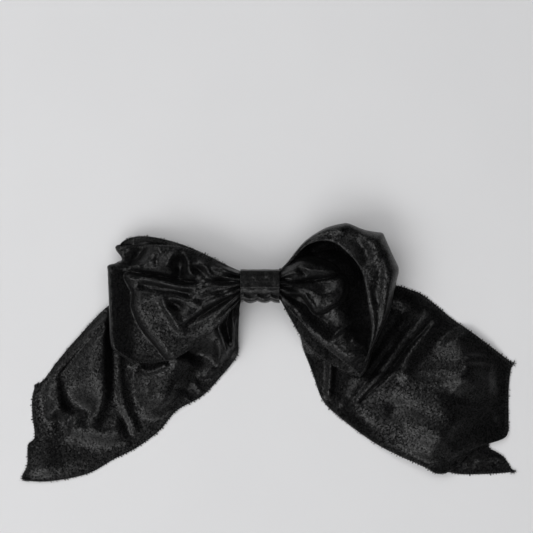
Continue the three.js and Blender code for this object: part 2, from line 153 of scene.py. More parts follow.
def ridge(plan, height, left, right, *points, start=0.15, stop=0.15, power=1.5):
    """A fold along a line: its height, and its width on the left and on the right of the line."""
    distance, t = nearest(plan, smooth_line(mm(*points), 70))
    width = np.where(distance > 0, left, right) * MM
    fade = ease(0, start, t) if start else 1
    fade = fade * (ease(0, stop, 1 - t) if stop else 1)
    return height * MM * fade * np.exp(-np.abs(distance / width) ** power)


def mound(plan, height, centre, size, turn=0, power=2):
    """A round swelling, turned by some degrees, or a hollow where height is negative."""
    x = plan[..., 0] - centre[0] * MM
    y = plan[..., 1] - centre[1] * MM
    c, s = math.cos(math.radians(turn)), math.sin(math.radians(turn))
    a = (x * c + y * s) / (size[0] * MM)
    b = (-x * s + y * c) / (size[1] * MM)
    return height * MM * np.exp(-((a * a + b * b) ** (power / 2)))


def depth_inside(plan, outline):
    """How far inside a closed outline each place is, in millimetres, and negative outside it."""
    ring = smooth_line(mm(*outline, outline[0]), 160)
    flat = plan.reshape(-1, 2)
    distance = np.sqrt(((flat[:, None] - ring[None]) ** 2).sum(2)).min(1)
    x, y = flat[:, 0], flat[:, 1]
    inside = np.zeros(len(flat), bool)
    for (x0, y0), (x1, y1) in zip(ring, np.roll(ring, -1, 0)):
        if y0 == y1:
            continue
        crosses = ((y0 > y) != (y1 > y)) & (x < (x1 - x0) * (y - y0) / (y1 - y0) + x0)
        inside ^= crosses
    return np.where(inside, distance, -distance).reshape(plan.shape[:2]) / MM


def lobe(plan, rim, rim_width, rise, rise_width, *outline):
    """A lobe inside a closed outline: a round rim at its edge, then a gentle climb inward."""
    depth = depth_inside(plan, outline)
    round_edge = np.sqrt(1 - (1 - np.clip((depth + 1) / rim_width, 0, 1)) ** 2)
    climb = np.sin(np.clip(depth / rise_width, 0, 1) * math.pi / 2)
    return (rim * round_edge + rise * climb) * MM


def soften(z, passes):
    """Evens out heights a little, and holds the border."""
    z = z.copy()
    for _ in range(passes):
        inner = z[1:-1, 1:-1]
        around = z[:-2, 1:-1] + z[2:, 1:-1] + z[1:-1, :-2] + z[1:-1, 2:]
        z[1:-1, 1:-1] = 0.5 * inner + 0.125 * around
    return z


def crumple(plan, size, depth, seed):
    """Small soft wrinkles of about that size."""
    shift = Vector((seed * 7.3, seed * 3.1, seed))
    values = np.empty(plan.shape[0] * plan.shape[1])
    for k, (x, y) in enumerate(plan.reshape(-1, 2)):
        spot = Vector((x / size / MM, y / size / MM, 0)) + shift
        values[k] = noise.noise(spot) + 0.5 * noise.noise(spot * 2.1)
    return depth * MM * values.reshape(plan.shape[:2])


# ---------------------------------------------------------------- meshes
def grid_faces(rows, columns, start, closed):
    """Quads over a grid of points whose numbers begin at start. A closed one joins last to first."""
    ids = start + np.arange(rows * columns).reshape(rows, columns)
    near, far = ids[:-1], ids[1:]
    if closed:
        near, far = ids, np.roll(ids, -1, 0)
    corners = (near[:, :-1], near[:, 1:], far[:, 1:], far[:, :-1])
    return np.stack([c.ravel() for c in corners], 1).tolist()


def smooth_mesh(name, points, faces):
    """A smooth-shaded mesh."""
    mesh = bpy.data.meshes.new(name)
    mesh.from_pydata(points, [], faces)
    mesh.polygons.foreach_set("use_smooth", [True] * len(mesh.polygons))
    mesh.update()
    return mesh


def paint(mesh, material):
    """Gives a mesh one material."""
    mesh.materials.clear()
    mesh.materials.append(material)


def add_object(name, mesh, material):
    """Puts a mesh into the scene under a name, in one material."""
    piece = bpy.data.objects.new(name, mesh)
    bpy.context.scene.collection.objects.link(piece)
    paint(mesh, material)
    return piece


def apply_modifiers(piece):
    """Bakes the piece's modifiers into its mesh."""
    bpy.context.view_layer.update()
    graph = bpy.context.evaluated_depsgraph_get()
    mesh = bpy.data.meshes.new_from_object(piece.evaluated_get(graph))
    piece.modifiers.clear()
    piece.data = mesh


def cloth_piece(name, surfaces, material, thickness=CLOTH, closed=False):
    """One velvet piece with real thickness, from grids of points [along, across, xyz]."""
    points, faces = [], []
    for surface in surfaces:
        faces += grid_faces(*surface.shape[:2], len(points), closed)
        points += surface.reshape(-1, 3).tolist()
    piece = add_object(name, smooth_mesh(name, points, faces), material)
    thick = piece.modifiers.new("thickness", "SOLIDIFY")
    thick.thickness = thickness
    thick.offset = 0
    apply_modifiers(piece)
    paint(piece.data, material)
    return piece


def strand(points, faces, path, thick, across):
    """Adds a thread along a path to a mesh in the making. Its section lies along two directions."""
    start = len(points)
    lowest = thick + 0.02 * MM
    for x, y, z in path:
        centre = np.array([x, y, max(z, lowest)])
        for i in range(THREAD_SIDES):
            w = 2 * math.pi * i / THREAD_SIDES
            points.append(centre + thick * (across[0] * math.cos(w) + across[1] * math.sin(w)))
    for j in range(len(path) - 1):
        ring = start + j * THREAD_SIDES
        for i in range(THREAD_SIDES):
            a, b = ring + i, ring + (i + 1) % THREAD_SIDES
            faces.append((a, b, b + THREAD_SIDES, a + THREAD_SIDES))
    last = start + (len(path) - 1) * THREAD_SIDES
    faces.append(tuple(start + i for i in reversed(range(THREAD_SIDES))))
    faces.append(tuple(last + i for i in range(THREAD_SIDES)))


def frayed(points, faces, corner, outward, rng):
    """Adds a tuft of loose thread ends at a corner of the cloth."""
    for _ in range(FRAYED_ENDS):
        heading = math.atan2(outward[1], outward[0]) + rng.normal(0, 0.75)
        length = FRAY_LENGTH[0] + FRAY_LENGTH[1] * rng.random()
        curl = rng.normal(0, 0.9)
        path = []
        for t in np.linspace(0, 1, 6):
            turn = heading + curl * t
            path.append((corner[0] + length * t * math.cos(turn),
                         corner[1] + length * t * math.sin(turn),
                         FRAY_LIFT[0] + FRAY_LIFT[1] * t * rng.random()))
        side = np.array([-math.sin(heading), math.cos(heading), 0])
        strand(points, faces, path, THREAD * 0.8, (side, np.array([0, 0, 1.0])))


def overlock(name, edges, material, seed, tufts=()):
    """Thread wrapped round cloth edges. Each edge is (points on the edge, points just inside)."""
    rng = np.random.default_rng(seed)
    points, faces = [], []
    for edge, inner in edges:
        length = np.linalg.norm(np.diff(edge, axis=0), axis=1).sum()
        count = max(2, int(length / STITCH_PITCH))
        rim, base = smooth_line(edge, count), smooth_line(inner, count)
        along = unit(np.gradient(rim, axis=0))
        inward = unit(base - rim)
        up = unit(np.cross(along, inward))
        for k in range(count):
            bite = BITE[0] + BITE[1] * rng.random()
            proud = PROUD[0] + PROUD[1] * rng.random() ** 2
            lean = (rng.random() - 0.3) * STITCH_PITCH / 2
            thick = THREAD * (0.85 + 0.45 * rng.random())
            path = []
            # from under the cloth, round its edge, to its top
            for a in np.linspace(-1.25, 1.25, 7) * math.pi / 2:
                back = bite * (0.5 - 0.5 * math.cos(a)) * 1.1 - proud * max(math.cos(a), 0)
                lift = (CLOTH / 2 + thick) * math.sin(a) * 1.2
                path.append(rim[k] + inward[k] * back + up[k] * lift
                            + along[k] * lean * math.sin(a))
            strand(points, faces, path, thick, (along[k], up[k]))
    for corner, outward in tufts:
        frayed(points, faces, mm(corner)[0], outward, rng)
    return add_object(name, smooth_mesh(name, [tuple(p) for p in points], faces), material)


# ---------------------------------------------------------------- materials
def nodes_of(name):
    """A new material, with its node tree and its shader."""
    material = bpy.data.materials.new(name)
    material.use_nodes = True
    tree = material.node_tree
    shader = next(n for n in tree.nodes if n.type == "BSDF_PRINCIPLED")
    return material, tree, shader


def link(tree, out, into):
    """Joins one node's output to another's input."""
    tree.links.new(out, into)


def noise_node(tree, scale, detail):
    """A cloudy texture that is fixed to the piece."""
    node = tree.nodes.new("ShaderNodeTexNoise")
    node.inputs["Scale"].default_value = scale
    node.inputs["Detail"].default_value = detail
    node.inputs["Roughness"].default_value = 0.6
    place = tree.nodes.new("ShaderNodeTexCoord")
    link(tree, place.outputs["Object"], node.inputs["Vector"])
    return node


def vector_math(tree, operation, first, second):
    """A vector sum, difference or product. The second input may be a socket or a constant."""
    node = tree.nodes.new("ShaderNodeVectorMath")
    node.operation = operation
    link(tree, first, node.inputs[0])
    if isinstance(second, tuple):
        node.inputs[1].default_value = second
    else:
        link(tree, second, node.inputs[1])
    return node.outputs["Value" if operation == "DOT_PRODUCT" else "Vector"]


def mixed_colour(tree, factor, first, second):
    """A colour that a texture's value moves between two others."""
    node = tree.nodes.new("ShaderNodeMix")
    node.data_type = "RGBA"
    node.inputs["A"].default_value = (*first, 1)
    node.inputs["B"].default_value = (*second, 1)
    link(tree, factor, node.inputs["Factor"])
    return node.outputs["Result"]


def bump_from(tree, height, strength, distance, shader):
    """Makes the shader's surface follow a texture's heights."""
    node = tree.nodes.new("ShaderNodeBump")
    node.inputs["Strength"].default_value = strength
    node.inputs["Distance"].default_value = distance
    link(tree, height, node.inputs["Height"])
    link(tree, node.outputs["Normal"], shader.inputs["Normal"])


def ramp(tree, out, low, high, at=(0.3, 0.7)):
    """Maps a texture's value onto a range of numbers."""
    node = tree.nodes.new("ShaderNodeMapRange")
    node.inputs["From Min"].default_value = at[0]
    node.inputs["From Max"].default_value = at[1]
    node.inputs["To Min"].default_value = low
    node.inputs["To Max"].default_value = high
    link(tree, out, node.inputs["Value"])
    return node.outputs["Result"]


def velvet(name, shine=1.0, lean=0.16, dullest=0.12):
    """Black velvet: a dark ground under a pile of tufts, each with its own lean and gloss.

    shine is the gloss of them all, lean how far they tilt, and dullest the least gloss of one tuft.
    """
    material, tree, shader = nodes_of(name)
    place = tree.nodes.new("ShaderNodeTexCoord")
    tufts = tree.nodes.new("ShaderNodeTexVoronoi")
    tufts.inputs["Scale"].default_value = 1 / TUFT
    link(tree, place.outputs["Object"], tufts.inputs["Vector"])
    gloss = tree.nodes.new("ShaderNodeSeparateColor")
    link(tree, tufts.outputs["Color"], gloss.inputs["Color"])
    crush = noise_node(tree, CRUSH, 3)
    crushed = ramp(tree, crush.outputs["Fac"], 0, 1)
    colour = mixed_colour(tree, crushed, (0.0012, 0.0012, 0.0013), (0.003, 0.003, 0.0032))
    link(tree, colour, shader.inputs["Base Color"])
    link(tree, ramp(tree, gloss.outputs["Red"], 0.28, 0.42, (0, 1)), shader.inputs["Roughness"])
    shader.inputs["Specular IOR Level"].default_value = 0.54 * shine
    tint = ramp(tree, gloss.outputs["Green"], dullest, 1, (0, 1))
    link(tree, tint, shader.inputs["Specular Tint"])
    shader.inputs["Sheen Weight"].default_value = 0.02
    shader.inputs["Sheen Roughness"].default_value = 0.3
    offset = vector_math(tree, "SUBTRACT", place.outputs["Object"], tufts.outputs["Position"])
    tilt = vector_math(tree, "SUBTRACT", tufts.outputs["Color"], (0.5, 0.5, 0.5))
    bump_from(tree, vector_math(tree, "DOT_PRODUCT", offset, tilt), 1, lean, shader)
    return material


def thread_material():
    """Black spun thread, dull and finely twisted."""
    material, tree, shader = nodes_of("overlock_thread")
    twist = noise_node(tree, TWIST, 2)
    shader.inputs["Base Color"].default_value = (0.006, 0.006, 0.0064, 1)
    link(tree, ramp(tree, twist.outputs["Fac"], 0.45, 0.75), shader.inputs["Roughness"])
    shader.inputs["Sheen Weight"].default_value = 0.05
    bump_from(tree, twist.outputs["Fac"], 0.6, 0.1 * MM, shader)
    return material


def steel_material():
    """Plated steel, brushed along the clip."""
    material, tree, shader = nodes_of("plated_steel")
    brush = noise_node(tree, BRUSH, 4)
    stretch = tree.nodes.new("ShaderNodeMapping")
    stretch.inputs["Scale"].default_value = (BRUSH_STRETCH, 1, 1)
    place = tree.nodes.new("ShaderNodeTexCoord")
    link(tree, place.outputs["Object"], stretch.inputs["Vector"])
    link(tree, stretch.outputs["Vector"], brush.inputs["Vector"])
    shader.inputs["Metallic"].default_value = 1
    shader.inputs["Base Color"].default_value = (0.62, 0.63, 0.64, 1)
    link(tree, ramp(tree, brush.outputs["Fac"], 0.2, 0.42), shader.inputs["Roughness"])
    bump_from(tree, brush.outputs["Fac"], 0.15, 0.05 * MM, shader)
    return material


VELVET = velvet("velvet")
KNOT_VELVET = velvet("knot_velvet", shine=0.9, lean=0.1, dullest=0.45)
THREAD_BLACK = thread_material()
STEEL = steel_material()


# ---------------------------------------------------------------- tails
def tail_base(plan, drop):
    """Height of a tail, which reaches the table at that distance from the clip."""
    x = np.maximum(0, np.abs(plan[..., 0]) - PLATE_HALF[0])
    y = np.maximum(0, np.abs(plan[..., 1]) - PLATE_HALF[1])
    return TAIL_TOP * (1 - ease(0, drop, np.hypot(x, y))) + TAIL_LIE


def from_borders(plan):
    """How far each place is from the nearer hem and from the end, as shares of the tail."""
    along, across = plan.shape[:2]
    hem = np.minimum(np.linspace(0, 1, across), np.linspace(1, 0, across))[None]
    return hem, np.linspace(1, 0, along)[:, None]


def settle(plan, z, free, least):
    """Lets a tail's borders sink toward the table, except near the knot that holds them."""
    near = ease(70 * MM, 22 * MM, np.hypot(plan[..., 0], plan[..., 1]))
    return REST + np.maximum(z - REST, 0) * np.maximum(least + (1 - least) * free, near)


def loop_underside(plan, sink):
    """The most that a tail may rise under a loop. It sinks away from the knot."""
    return TAIL_TOP - sink * ease(0, 50 * MM, np.abs(plan[..., 0]) - 20 * MM)


def left_tail():
    """The left tail, whose folds run down from its upper hem."""
    along, across = 230, 110
    plan = plan_patch(
        mm((-12.5, -8), (-14, -18), (-14.8, -35), (-15.7, -46), (-28, -61.6), (-39, -72.6),
           (-55, -81.6), (-66, -94.5), (-81, -105.8), (-94.5, -112.5), (-109, -121),
           (-122, -125), (-139, -127.5), (-153, -127)),
        mm((-12.5, 6), (-45, 3), (-75, 0), (-97, -12), (-116.6, -31.9), (-131, -48.5),
           (-141, -61.5), (-146.5, -65)),
        mm((-153, -127), (-155, -124), (-151.8, -117), (-151.3, -104), (-147, -98.8),
           (-148.5, -84), (-148.5, -73), (-146.5, -65)),
        across, along,
    )
    z = tail_base(plan, 60 * MM)
    # broad swells that climb slowly from the left and drop steeply on the right
    z += ridge(plan, 10, 3.4, 19, (-100, -14), (-101.5, -38), (-101.5, -58), (-102.5, -72),
               (-107, -86), (-112, -98), power=2, start=0, stop=0.5)
    z += ridge(plan, 8.5, 10, 15, (-50, -40), (-58, -56), (-63, -74), (-66, -92), power=2, stop=0.4)
    z += ridge(plan, 3.8, 2.6, 10, (-134, -57), (-131.5, -70), (-129.5, -84), (-130, -98), power=2,
               start=0.3, stop=0.5)
    z += ridge(plan, 4, 6, 8, (-126, -89), (-112, -93), (-98, -94), (-87, -91), power=2)
    # a narrow fold that stands in the valley under the swell and hooks at its foot
    z += ridge(plan, 2, 2, 4, (-92, -36), (-91.6, -58), (-89.8, -71), (-87, -81), (-83.2, -87.6),
               (-81.8, -93), (-84, -100), start=0.05, power=2)
    z += ridge(plan, -1.2, 4, 4, (-85, -52), (-83.5, -68), (-79, -82), power=2)
    z += mound(plan, -1.2, (-73, -67), (3, 4))
    # pools and small folds
    z += ridge(plan, -1.3, 6, 6, (-129, -74), (-118.6, -78), (-107.5, -83), power=2, start=0.3)
    z += mound(plan, 4, (-152, -126), (24, 16), 20)
    z += ridge(plan, 2.4, 3, 3, (-137, -88), (-135.4, -82), (-131, -79.6), (-126.4, -81.6),
               (-122.6, -86.6))
    z += mound(plan, -2, (-131, -88.5), (3, 4.5))
    z += mound(plan, -4.5, (-40, -45), (8.5, 7), 10)
    z += ridge(plan, 3.2, 2.2, 2.4, (-29.5, -33), (-26.6, -42.8), (-27.4, -53), (-33.6, -57.2),
               (-41, -62))
    z += mound(plan, -2.6, (-37.6, -62.6), (2.8, 2.8))
    z += ridge(plan, 1.8, 1.6, 1.8, (-43, -62), (-41.6, -66), (-38.5, -69.5))
    z += ridge(plan, -2, 2.2, 2.2, (-57, -66), (-49, -68), (-41, -71))
    z += ridge(plan, 2, 2, 2.4, (-60, -77.5), (-50.3, -73), (-44, -75.5))
    z += ridge(plan, 2.6, 1.8, 2.2, (-59, -50), (-66, -54), (-74, -56), (-80, -53))
    # pleats that run to the knot
    z += ridge(plan, 5, 1.6, 1.8, (-21, -12), (-26.8, -25), (-23.8, -36), (-20.5, -48), start=0.02)
    z += ridge(plan, -3, 1.8, 1.8, (-19, -12), (-22, -24), (-19.4, -38))
    z += ridge(plan, 3.4, 1.8, 2, (-15.5, -12), (-17.4, -25), (-17.5, -44), start=0.02)
    z += mound(plan, 3.4, (-24.4, -16.5), (2.2, 4), 10)
    z += crumple(plan, 16, 0.4, 2) + crumple(plan, 6, 0.08, 5)
    hem, end = from_borders(plan)
    z = settle(plan, soften(z, 3), ease(0.02, 0.16, hem) * ease(0, 0.09, end), 0.25)
    # the rolled strip along the upper edge, and the crease inside it
    z += ridge(plan, 2.8, 1.4, 4.8, (-92, -14.5), (-112, -34), (-126.5, -50.5), (-136.5, -63),
               power=2)
    under_loop = ease(-49 * MM, -43 * MM, plan[..., 1]) * ease(-99 * MM, -95 * MM, plan[..., 0])
    ceiling = loop_underside(plan, 6 * MM) + (1 - under_loop) * 20 * MM
    z = np.where(under_loop > 0, np.minimum(z, ceiling), z)
    return np.dstack([plan, z])


def right_tail():
    """The right tail, with one broad swell and a corner that is turned under."""
    along, across = 240, 120
    plan = plan_patch(
        mm((12.5, -8), (19, -15), (24.8, -26.4), (27, -39.7), (33.6, -57.3), (40.2, -74.9),
           (51.3, -86), (69, -99.3), (84.4, -108.1), (104.3, -116.9), (113, -121.6),
           (120, -121.5), (126, -118)),
        mm((12.5, 6), (50, 2), (84.4, 0.1), (98, -3.6), (106.5, -7.6), (124.2, -22),
           (139.7, -33), (163.5, -51)),
        mm((126, -118), (133, -110), (141, -104.6), (156, -99.4), (160, -94.5), (160.7, -88.2),
           (160.7, -70.5), (161.8, -57.3), (163.5, -51)),
        across, along,
    )
    z = tail_base(plan, 45 * MM)
    # a long slope that climbs from the left, drops, climbs again and drops for good
    z += ridge(plan, 12, 30, 33, (112, -34), (117, -50), (118, -66), (120, -84), (112, -100),
               (104, -118), power=2, start=0.35, stop=0)
    z += ridge(plan, 2.4, 6, 13, (120, -66), (120, -78), (121, -88), (112, -102), (106, -114),
               power=2, start=0.3, stop=0.1)
    z += ridge(plan, 8.5, 18, 11, (124, -28), (132, -42), (133, -54), (126, -74), power=2, stop=0.35)
    # three folds that run down from the upper hem: gentle on the left, sharp on the right
    first = [(104.3, -15.6), (90.5, -26.7), (81.4, -39.8), (73.6, -50.2), (63.1, -64.6),
             (51.4, -80.9)]
    second = [(112, -17.5), (103.5, -28), (94.5, -37), (86.6, -47.6), (78.8, -58), (71, -66),
              (60.5, -77.6)]
    third = [(116.6, -20), (108.8, -30.7), (101, -41), (94.5, -50), (88, -60.7)]
    z += ridge(plan, 1.4, 1.2, 3.6, *first, power=2, start=0.02, stop=0.05)
    z += ridge(plan, -1.6, 1.3, 1.2, *[(x + 2.4, y - 1.8) for x, y in first], power=2)
    z += ridge(plan, 2, 13, 9, *second, power=2, start=0.05, stop=0.3)
    z += ridge(plan, 2.6, 1.6, 6, *second, power=2, start=0.02, stop=0.05)
    z += ridge(plan, -3, 1.3, 1.2, *[(x + 1.6, y - 1.2) for x, y in second], power=2, stop=0.1)
    z += ridge(plan, 3, 5, 4.5, *third, power=2)
    # hollows and small folds
    z += ridge(plan, -0.8, 5, 6, (97, -9), (88, -22), (78, -36), (70, -50), power=2)
    z += ridge(plan, -3, 8, 8, (120, -104), (136, -92), (156, -86), power=2)
    z += ridge(plan, 1.8, 1.5, 2.2, (130, -46), (142, -46.5), (152, -49), (160, -52))
    z += ridge(plan, 1.8, 1.6, 2.2, (128, -52), (140, -51.5), (152, -53.5), (160, -54))
    z += ridge(plan, 2, 4, 5, (80, -6), (92, -10.6), (101, -17), power=2)
    z += ridge(plan, 4.2, 1.9, 2.6, (45.6, -44), (45.2, -60), (43.8, -75), start=0.02, power=2)
    z += mound(plan, -2, (87, -79), (6, 5), 40)
    z += mound(plan, -1.8, (66, -88), (8, 4), -40)
    z += crumple(plan, 16, 0.4, 3) + crumple(plan, 6, 0.08, 8)
    hem, end = from_borders(plan)
    z = settle(plan, soften(z, 3), ease(0, 0.3, hem), 0.55)
    # the end lies down, and stays a little higher where it is folded under
    fold = 1.8 * MM * (1 - ease(0.42, 0.55, np.linspace(0, 1, across + 1)))[None]
    lying = ease(0.1, 0, end)
    z = z * (1 - lying) + (REST + fold) * lying
    # the crease along the folded corner
    z += ridge(plan, 1.5, 2.6, 2.6, (123, -120), (127, -116.5), (133, -110), (141, -104.6),
               (156, -99.4), (160, -94.5), start=0, stop=0.3, power=2)
    under_loop = (plan[..., 1] > -58 * MM) & (plan[..., 0] < 70 * MM)
    z = np.where(under_loop, np.minimum(z, loop_underside(plan, 9 * MM)), z)
    return np.dstack([plan, z])


def right_tail_turn(tail):
    """The round fold at the right tail's end, from its top down and back under it."""
    edge, inner = tail[-1, :FOLDED_COLUMNS], tail[-4, :FOLDED_COLUMNS]
    outward = unit((edge - inner) * (1, 1, 0))
    radius = (edge[:, 2] - CORNER_HEIGHT)[:, None] / 2
    up = np.array([0, 0, 1.0])
    rows = [edge + outward * radius * math.sin(a) - up * radius * (1 - math.cos(a))
            for a in np.linspace(0, math.pi, 9)]
    rows.append(rows[-1] - outward * 5 * MM)
    return np.stack(rows)


def right_tail_corner():
    """The turned-under corner that shows beyond the right tail's fold."""
    along, across = 40, 50
    plan = plan_patch(
        mm((120, -121.4), (132, -122.9), (150.7, -122.5), (164, -121.4)),
        mm((128, -108), (136, -104), (142, -102), (148, -102)),
        mm((164, -121.4), (160, -115), (157.3, -111.4), (152, -108), (148.5, -106), (148, -102)),
        across, along,
    )
    z = CORNER_HEIGHT + mound(plan, 1.2, (140, -113), (12, 4), 20)
    z += ridge(plan, 1, 1.5, 1.5, (139, -115), (148, -112), (158, -112.5))
    z += crumple(plan, 6, 0.2, 4)
    return np.dstack([plan, np.maximum(z, 0.5 * MM)])


# ---------------------------------------------------------------- loops
def folded_over(front, back, turn, rows=14):
    """Joins a front and a back layer by a round turn at their far ends."""
    f, b = front[-1], back[-1]
    out = unit((f - front[-4]) * (1, 1, 0))
    arc = []
    for k in range(1, rows):
        a = math.pi * k / rows
        middle = f + (b - f) * (1 - math.cos(a)) / 2
        arc.append(middle + out * turn * math.sin(a))
    return np.concatenate([front, np.stack(arc), back[::-1]])


def gather(plan, z, from_mouth, count, phase, reach, seed):
    """Crumples and pleats a loop's front layer, and draws its mouth up into the knot's neck."""
    u = np.linspace(0, 1, plan.shape[1])[None]
    pleat = PLEAT * np.cos(2 * math.pi * count * u + phase) * (1 - ease(0, reach, from_mouth))
    z = z + (pleat + crumple(plan, 12, 0.3, seed) + crumple(plan, 5, 0.06, seed + 1))
    mouth = ease(0, 12 * MM, from_mouth)
    neck = NECK + NECK_ARCH * np.sqrt(np.sin(math.pi * np.clip(u, 0.001, 0.999)))
    return soften(z, 4) * mouth + (1 - mouth) * (neck + pleat)


def left_loop():
    """The left loop: two lobes and a far panel in front, a plain layer behind, and a round turn."""
    along, across = 130, 120
    mouth_x = 13 * MM
    far_side = [(-93.9, -37.2), (-94.9, -12), (-95.7, 8), (-95.8, 12.6), (-89, 14.4), (-86.8, 17.5)]
    plan = plan_patch(
        mm((-13, -8), (-20, -17), (-28, -26), (-38, -35), (-51.5, -44.8), (-59, -48),
           (-70, -49), (-82, -48.4)),
        mm((-13, 8.4), (-22.4, 12.8), (-39.2, 20.6), (-50, 24), (-60, 25.2), (-71.6, 25.7),
           (-82, 25.6), (-89, 24.8)),
        mm((-82, -48.4), (-89, -43.6), *far_side, (-90, 23.5), (-89, 24.8)),
        across, along,
    )
    from_mouth = np.abs(plan[..., 0]) - mouth_x
    z = 14.5 * MM + 6 * MM * (1 - ease(0, 30 * MM, from_mouth))
    # the far panel leans in toward the lobes
    panel = ease(67 * MM, 84 * MM, from_mouth) * (1 - ease(6 * MM, 14 * MM, plan[..., 1]))
    z += 5.5 * MM * panel
    # the two lobes of the front layer
    lower = [(-12, 1.5), (-34.5, 3.2), (-41.3, 1.2), (-47, 0.4), (-58, 2.4), (-68.6, 5),
             (-77.4, 6.4), (-86, 6.2), (-83.6, 1), (-81.4, -4), (-81, -9), (-81.6, -12.7),
             (-80.1, -17.5), (-76.4, -25.3), (-71.4, -32.2), (-66, -38.5), (-60, -46),
             (-55, -47), (-51.5, -45), (-38, -35), (-28, -26), (-17, -14), (-12, -9)]
    z += lobe(plan, 3.2, 1.2, 1.8, 5, *lower)
    z += mound(plan, 5.5, (-46, -2), (34, 30))
    upper = [(-12, 4.4), (-30, 4.6), (-42, 3.2), (-52, 5.6), (-66, 8), (-81, 10.4), (-77.5, 17.5),
             (-73, 23), (-70, 30), (-50, 30), (-30, 20), (-12, 10.5)]
    z += lobe(plan, 4.5, 2, 5, 12, *upper)
    z += mound(plan, -3.5, (-78, 19.5), (7, 4.5), 50)
    z += ridge(plan, 1.4, 1.6, 1.6, (-89, 23), (-80, 24.4), (-65, 24), (-50, 22.6), start=0)
    # the crest over the valley, a trough under it, and the fold that runs to the far edge
    z += ridge(plan, 3, 2, 2.6, (-87, 5), (-77.4, 5.3), (-68.6, 3.9), (-58, 1.2), (-47, -0.7),
               (-41.3, 0.2), (-34, 2.6), (-24, 2), start=0.05)
    z += ridge(plan, -3, 2.8, 3.2, (-80, 0.6), (-70.5, -0.8), (-60, -2.6), (-50, -5), (-41, -5.2),
               power=2)
    z += ridge(plan, 3, 1.6, 1.8, (-98, 12), (-90, 11.8), (-81, 11.6), (-74, 12.6), start=0)
    # the dimple with its three-cornered raised ring, and the crease from it to the knot
    z += mound(plan, -3.4, (-53.8, -12.8), (5, 3), -24, power=3)
    z += ridge(plan, 2.3, 2, 5.4, (-63, -6.5), (-56, -5.6), (-46, -9), (-37.6, -13.8), (-44, -20),
               (-51.8, -27), (-56, -21), (-60.4, -14), (-63, -6.5), start=0, stop=0)
    z += ridge(plan, -3.2, 1.8, 2.4, (-51, -29), (-46.2, -24), (-36.4, -18), (-23.8, -10),
               (-15, -5.2))
    z += ridge(plan, 1.8, 2, 2, (-38, -14), (-30, -9.5), (-22, -5.6), (-14, -3))
    z += mound(plan, 2.2, (-37, -5.2), (6, 2.2), 20)
    z += mound(plan, -2, (-24.4, -5.4), (5, 1.2), -6)
    # the pocket of the upper lobe, its rims, and the small folds toward the knot
    z += mound(plan, -9, (-51.6, 12), (4.4, 7.2), -4, power=3)
    z += ridge(plan, 2, 1.5, 1.6, (-50.2, 23), (-55.6, 18.4), (-59.6, 14), (-61.4, 9.4))
    z += ridge(plan, 2, 1.4, 1.5, (-49.4, 22.4), (-46.2, 15), (-45.2, 9), (-41, 4.6))
    z += ridge(plan, -1.6, 1.6, 1.6, (-63.6, 21), (-66.4, 16.5), (-65.4, 12))
    z += mound(plan, -3.6, (-40, 10.4), (4.6, 1.9), -32)
    z += ridge(plan, 1.8, 1.4, 1.5, (-40, 16.6), (-34.6, 11.6), (-32, 7.2), (-28.6, 6.2),
               (-23, 8.2), (-13, 7.6))
    front = np.dstack([plan, gather(plan, z, from_mouth, 5.5, 0.6, 26 * MM, 11)])
    back_plan = plan_patch(
        mm((-13, -8), (-20, -17), (-28, -26), (-38, -35), (-51.5, -44.8), (-59, -48.3),
           (-70, -49.2), (-82, -48.6)),
        mm((-13, 9), (-22.4, 13.2), (-39.2, 21.5), (-55.9, 27.7), (-71.6, 31.1), (-82, 30.6),
           (-88, 28.6), (-90.6, 26)),
        mm((-82, -48.6), (-89, -43.6), *far_side, (-91.5, 23), (-90.6, 26)),
        across, along,
    )
    fall = ease(0, 60 * MM, np.abs(back_plan[..., 0]) - mouth_x)
    back_z = 19.5 * MM - 8.5 * MM * fall + crumple(back_plan, 12, 0.35, 14)
    back_z += ridge(back_plan, 5, 4, 7, (-40, 19), (-56, 24.5), (-72, 28), (-88, 25), power=2)
    back = np.dstack([back_plan, back_z])
    return folded_over(front, back, 2.1 * MM)


